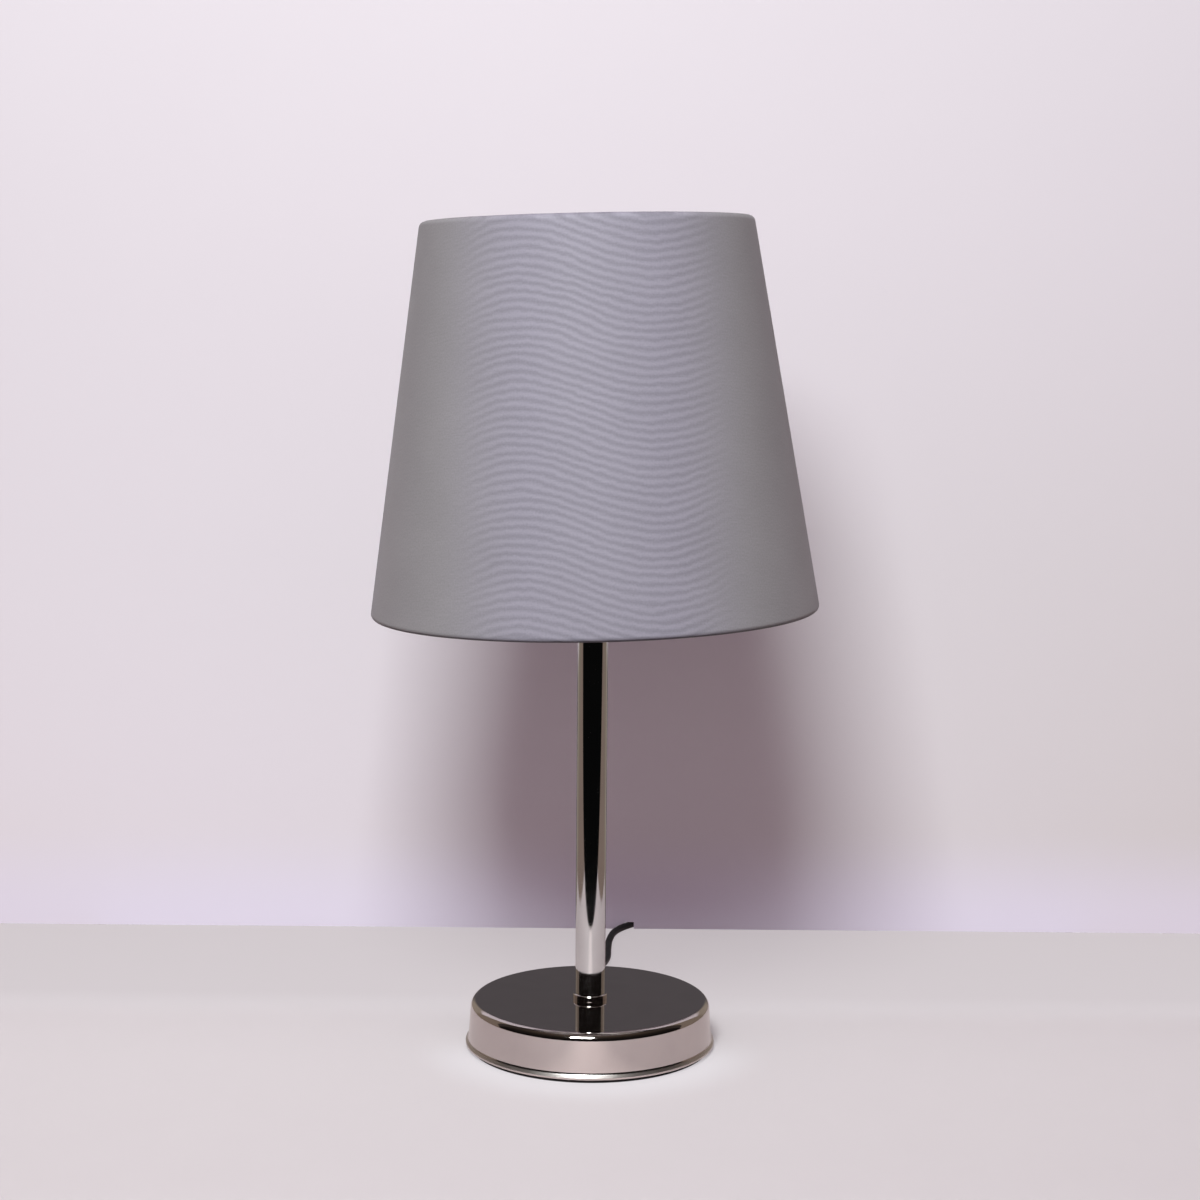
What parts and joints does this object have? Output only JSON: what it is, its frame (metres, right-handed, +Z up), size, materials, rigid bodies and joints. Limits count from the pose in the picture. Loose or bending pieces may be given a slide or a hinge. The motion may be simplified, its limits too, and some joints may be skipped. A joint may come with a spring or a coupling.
{
  "type": "table lamp",
  "caption": "Table lamp with a polished disc base, a straight stem, a tapered fabric shade on a wire frame and a black cord with an inline switch and a plug.",
  "frame": {"origin": "centre of the underside of the base", "axes": "+Z up along the stem, -Y the front, +Y the side where the cord leaves, +X to the right"},
  "size_m": [0.1999, 0.457, 0.3745],
  "materials": {
    "chrome": "polished",
    "zinc_steel": "satin",
    "iron": "rough cast",
    "pad": "matte",
    "black_rubber": "matte",
    "cord": "satin",
    "black_plastic": "semi-gloss",
    "brass": "satin",
    "nickel": "polished",
    "opal_glass": "frosted",
    "clear_glass": "clear",
    "filament": "matte",
    "insulation": "matte",
    "fabric": "woven satin",
    "liner": "matte",
    "white_wire": "satin"
  },
  "bodies": {
    "stand": {"base_pad": "pad", "base_plate": "zinc_steel", "plate_screws": "zinc_steel", "base_weight": "iron", "base_shell": "chrome", "base_nipple": "zinc_steel", "nipple_washer": "zinc_steel", "nipple_nut": "zinc_steel", "cord_clamp": "zinc_steel", "clamp_screws": "zinc_steel", "cord_grommet": "black_rubber", "inner_cord": "cord", "stem_collar": "chrome", "stem_tube": "chrome", "holder_nipple": "zinc_steel", "holder_cap": "black_plastic", "holder_skirt": "black_plastic", "holder_insert": "black_plastic", "screw_shell": "brass", "centre_contact": "brass", "terminal_screws": "brass", "core_wires": "insulation", "shade_ring": "black_plastic", "cord_to_switch": "cord", "cord_from_switch": "cord", "cord_coil": "cord", "cord_tail": "cord", "switch_lower_case": "black_plastic", "switch_upper_case": "black_plastic", "switch_screws": "zinc_steel", "switch_contacts": "brass", "switch_wires": "insulation", "plug_boot": "black_rubber", "plug_body": "black_plastic", "plug_pins": "nickel"},
    "shade": {"shade_cover": "fabric", "shade_liner": "liner", "top_ring": "white_wire", "bottom_ring": "white_wire", "spider_arms": "white_wire", "fitter_ring": "white_wire"},
    "bulb_carrier": {"bulb_contact": "nickel"},
    "bulb": {"bulb_glass": "opal_glass", "bulb_cap": "nickel", "bulb_insulator": "black_plastic", "filament_stem": "clear_glass", "led_filaments": "filament"},
    "rocker": {"switch_rocker": "black_plastic"}
  },
  "joints": [
    {"name": "shade_turn", "type": "hinge", "parent": "stand", "child": "shade", "pos_m": [0, 0, 0.2287], "axis": [0, 0, 1], "continuous": true},
    {"name": "bulb_lift", "type": "slide", "parent": "stand", "child": "bulb_carrier", "axis": [0, 0, 1], "range_m": [0, 0.0085]},
    {"name": "bulb_turn", "type": "hinge", "parent": "bulb_carrier", "child": "bulb", "pos_m": [0, 0, 0.2272], "axis": [0, 0, 1], "range_deg": [0, 1080]},
    {"name": "rocker_tilt", "type": "hinge", "parent": "stand", "child": "rocker", "pos_m": [0.0425, 0.281, 0.009], "axis": [1, 0, 0], "range_deg": [0, 20]}
  ],
  "couplings": [
    {"joint": "bulb_lift", "follows": "bulb_turn", "m_per_rad": 0.00044563}
  ]
}
